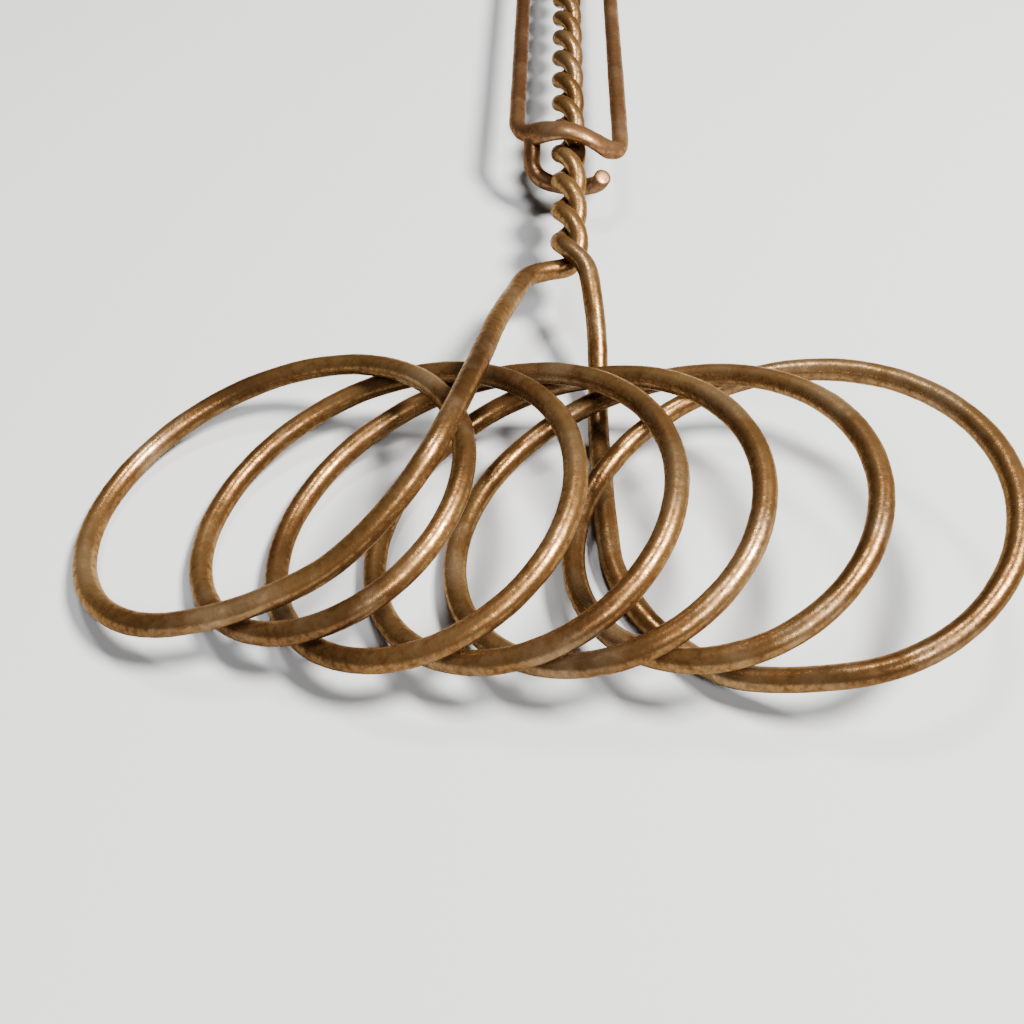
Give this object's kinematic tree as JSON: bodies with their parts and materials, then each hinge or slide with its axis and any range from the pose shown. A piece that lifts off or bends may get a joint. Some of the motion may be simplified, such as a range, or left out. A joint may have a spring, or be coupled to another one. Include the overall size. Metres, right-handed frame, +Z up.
{
  "type": "spiral push whisk",
  "caption": "Hand whisk of bent iron wire: a leaning coil head on a twisted shaft that spins as a long wire frame with a nut slides along it.",
  "frame": {"origin": "centre of the object's box on the table it lies on", "axes": "+Y along the shaft from the coil to the hanging ring, +X along the coil, +Z up from the table"},
  "size_m": [0.0909, 0.2675, 0.0179],
  "materials": {
    "whisk_wire": "aged brown patina on drawn iron wire, semi-gloss where handled",
    "frame_wire": "aged red-brown patina on drawn iron wire, satin",
    "guide_sheet": "aged brown sheet iron, satin"
  },
  "bodies": {
    "frame": {"hang_ring": "frame_wire", "neck_strand_left": "frame_wire", "neck_strand_right": "frame_wire", "left_leg": "frame_wire", "right_leg": "frame_wire", "nut_saddle": "frame_wire", "nut_hook": "frame_wire"},
    "guide": {"guide_yoke": "guide_sheet"},
    "whisk": {"coil_turn_1": "whisk_wire", "coil_turn_2": "whisk_wire", "coil_turn_3": "whisk_wire", "coil_turn_4": "whisk_wire", "coil_turn_5": "whisk_wire", "coil_turn_6": "whisk_wire", "left_riser": "whisk_wire", "right_riser": "whisk_wire", "shaft_strand_left": "whisk_wire", "shaft_strand_right": "whisk_wire", "shaft_collar": "guide_sheet", "shaft_washer": "guide_sheet", "shaft_end_rivet": "guide_sheet"}
  },
  "joints": [
    {"name": "guide_slide", "type": "slide", "parent": "frame", "child": "guide", "axis": [0, 1, 0], "range_m": [-0.0681, 0.0137]},
    {"name": "whisk_spin", "type": "hinge", "parent": "guide", "child": "whisk", "pos_m": [0.0046, 0.0266, 0.0084], "axis": [0, 1, 0], "range_deg": [-360, 1800]}
  ],
  "couplings": [
    {"joint": "guide_slide", "follows": "whisk_spin", "m_per_rad": -0.0021645}
  ]
}
